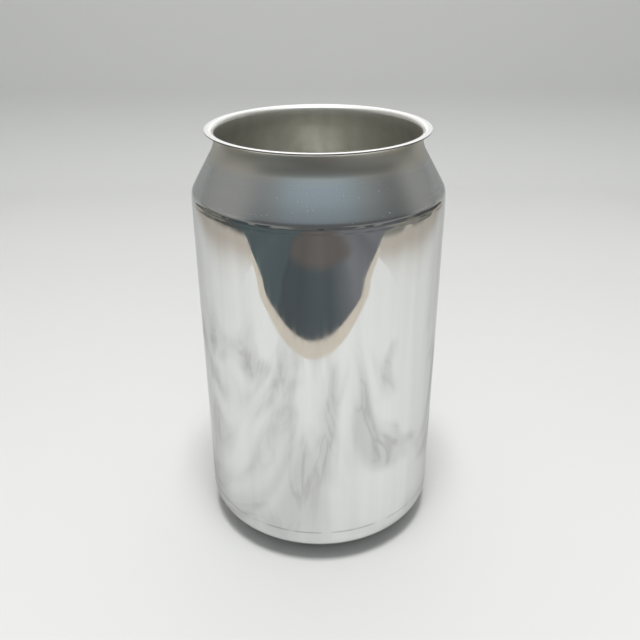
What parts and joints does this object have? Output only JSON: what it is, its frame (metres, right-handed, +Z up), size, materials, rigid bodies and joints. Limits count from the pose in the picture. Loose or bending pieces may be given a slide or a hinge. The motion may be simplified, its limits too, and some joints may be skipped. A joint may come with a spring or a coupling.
{
  "type": "beverage can body",
  "caption": "Open aluminium drinks can body: straight ironed wall, necked-in cone, outward flange round the mouth, and a domed base standing on a narrow ring.",
  "frame": {"origin": "centre of the stand ring's resting plane, on the can's axis", "axes": "+Z up along the can's axis, from the stand ring to the flange; X and Y are free because the can is round"},
  "size_m": [0.0662, 0.0662, 0.1152],
  "materials": {
    "bright_aluminium": "mirror-bright ironed wall, satin neck and base"
  },
  "bodies": {
    "root": {"can_body": "bright_aluminium"}
  },
  "joints": []
}
